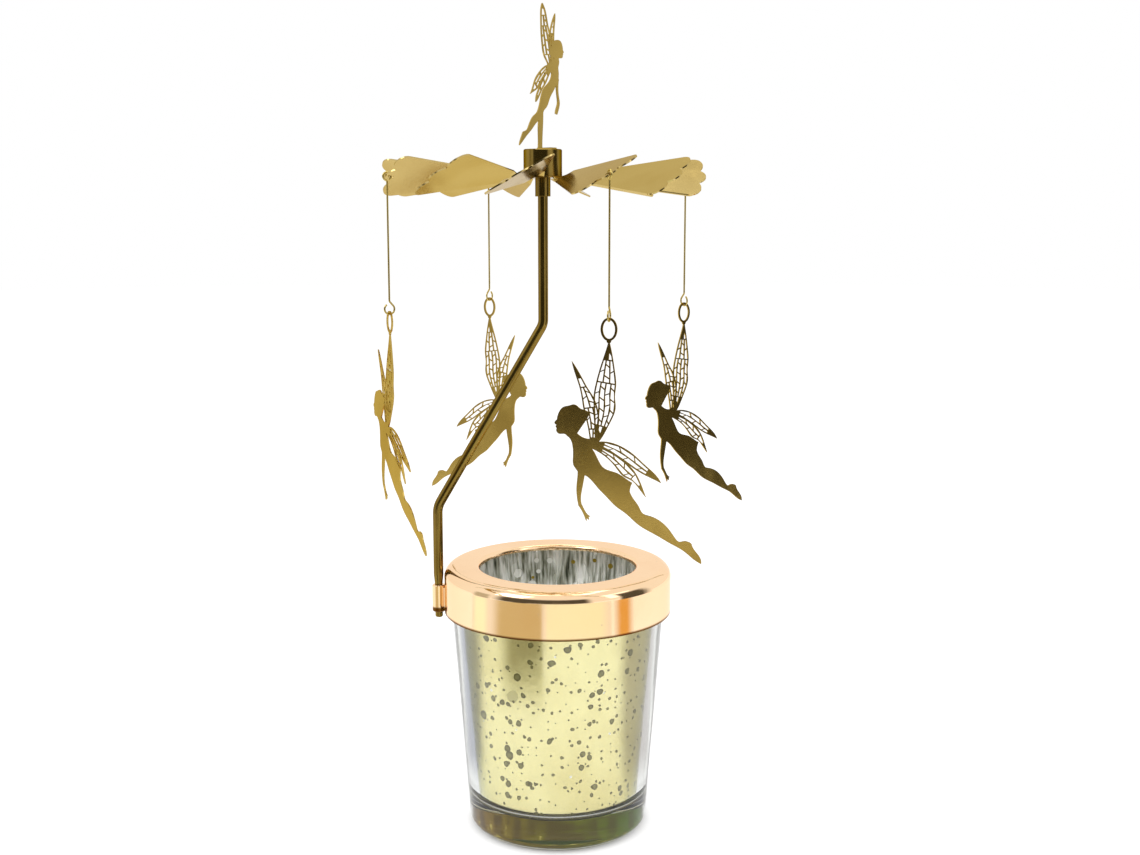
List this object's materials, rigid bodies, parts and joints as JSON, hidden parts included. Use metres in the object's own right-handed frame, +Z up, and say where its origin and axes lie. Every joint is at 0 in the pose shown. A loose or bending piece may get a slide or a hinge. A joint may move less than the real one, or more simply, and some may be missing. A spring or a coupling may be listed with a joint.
{
  "type": "candle carousel",
  "caption": "Glass votive holder with a metal cap and a cranked rod, topped by a heat-driven vane rotor that carries flat winged figures on wires.",
  "frame": {"origin": "centre of the glass's flat base, on the table", "axes": "+Z up along the glass, +X away from the rod's foot, +Y towards the back"},
  "size_m": [0.1095, 0.1036, 0.236],
  "materials": {
    "mercury_glass": "clear glass, silvered inside and tinted gold, speckled",
    "rose_gold": "polished rose gold plate",
    "dark_gold": "polished gold plate",
    "pale_gold": "bright rolled sheet",
    "etched_gold": "etched sheet, satin",
    "dark_wire": "drawn wire, tarnished",
    "needle_steel": "hardened, ground"
  },
  "bodies": {
    "glass": {"glass_cup": "mercury_glass"},
    "cap": {"cap_ring": "rose_gold", "rod_socket": "rose_gold"},
    "rod": {"support_rod": "dark_gold", "pivot_pin": "needle_steel"},
    "rotor": {"rotor_blades": "pale_gold", "hub_cap": "dark_gold", "hub_sleeve": "dark_gold", "bearing_cup": "needle_steel", "top_fairy": "etched_gold"},
    "hanger_1": {"hanger_wire_1": "dark_wire"},
    "figure_1": {"fairy_1": "etched_gold"},
    "hanger_2": {"hanger_wire_2": "dark_wire"},
    "figure_2": {"fairy_2": "etched_gold"},
    "hanger_3": {"hanger_wire_3": "dark_wire"},
    "figure_3": {"fairy_3": "etched_gold"},
    "hanger_4": {"hanger_wire_4": "dark_wire"},
    "figure_4": {"fairy_4": "etched_gold"}
  },
  "joints": [
    {"name": "cap_lift", "type": "slide", "parent": "glass", "child": "cap", "axis": [0, 0, 1], "range_m": [0, 0.02]},
    {"name": "rod_lift", "type": "slide", "parent": "cap", "child": "rod", "axis": [0, 0, 1], "range_m": [0, 0.01]},
    {"name": "rotor_spin", "type": "hinge", "parent": "rod", "child": "rotor", "pos_m": [-0.004, 0, 0.1885], "axis": [0, 0, 1], "continuous": true},
    {"name": "hanger_swing_1", "type": "hinge", "parent": "rotor", "child": "hanger_1", "pos_m": [0.01356, -0.04138, 0.1885], "axis": [-0.9205, -0.3907, 0], "range_deg": [-4, 20]},
    {"name": "fairy_twirl_1", "type": "hinge", "parent": "hanger_1", "child": "figure_1", "pos_m": [0.01356, -0.04138, 0.1525], "axis": [0, 0, 1], "range_deg": [-35, 35]},
    {"name": "hanger_swing_2", "type": "hinge", "parent": "rotor", "child": "hanger_2", "pos_m": [0.03738, 0.01756, 0.1885], "axis": [0.3907, -0.9205, 0], "range_deg": [-4, 20]},
    {"name": "fairy_twirl_2", "type": "hinge", "parent": "hanger_2", "child": "figure_2", "pos_m": [0.03738, 0.01756, 0.1525], "axis": [0, 0, 1], "range_deg": [-35, 35]},
    {"name": "hanger_swing_3", "type": "hinge", "parent": "rotor", "child": "hanger_3", "pos_m": [-0.02156, 0.04138, 0.1885], "axis": [0.9205, 0.3907, 0], "range_deg": [-4, 20]},
    {"name": "fairy_twirl_3", "type": "hinge", "parent": "hanger_3", "child": "figure_3", "pos_m": [-0.02156, 0.04138, 0.1525], "axis": [0, 0, 1], "range_deg": [-35, 35]},
    {"name": "hanger_swing_4", "type": "hinge", "parent": "rotor", "child": "hanger_4", "pos_m": [-0.04538, -0.01756, 0.1885], "axis": [-0.3907, 0.9205, 0], "range_deg": [-4, 20]},
    {"name": "fairy_twirl_4", "type": "hinge", "parent": "hanger_4", "child": "figure_4", "pos_m": [-0.04538, -0.01756, 0.1525], "axis": [0, 0, 1], "range_deg": [-35, 35]}
  ]
}
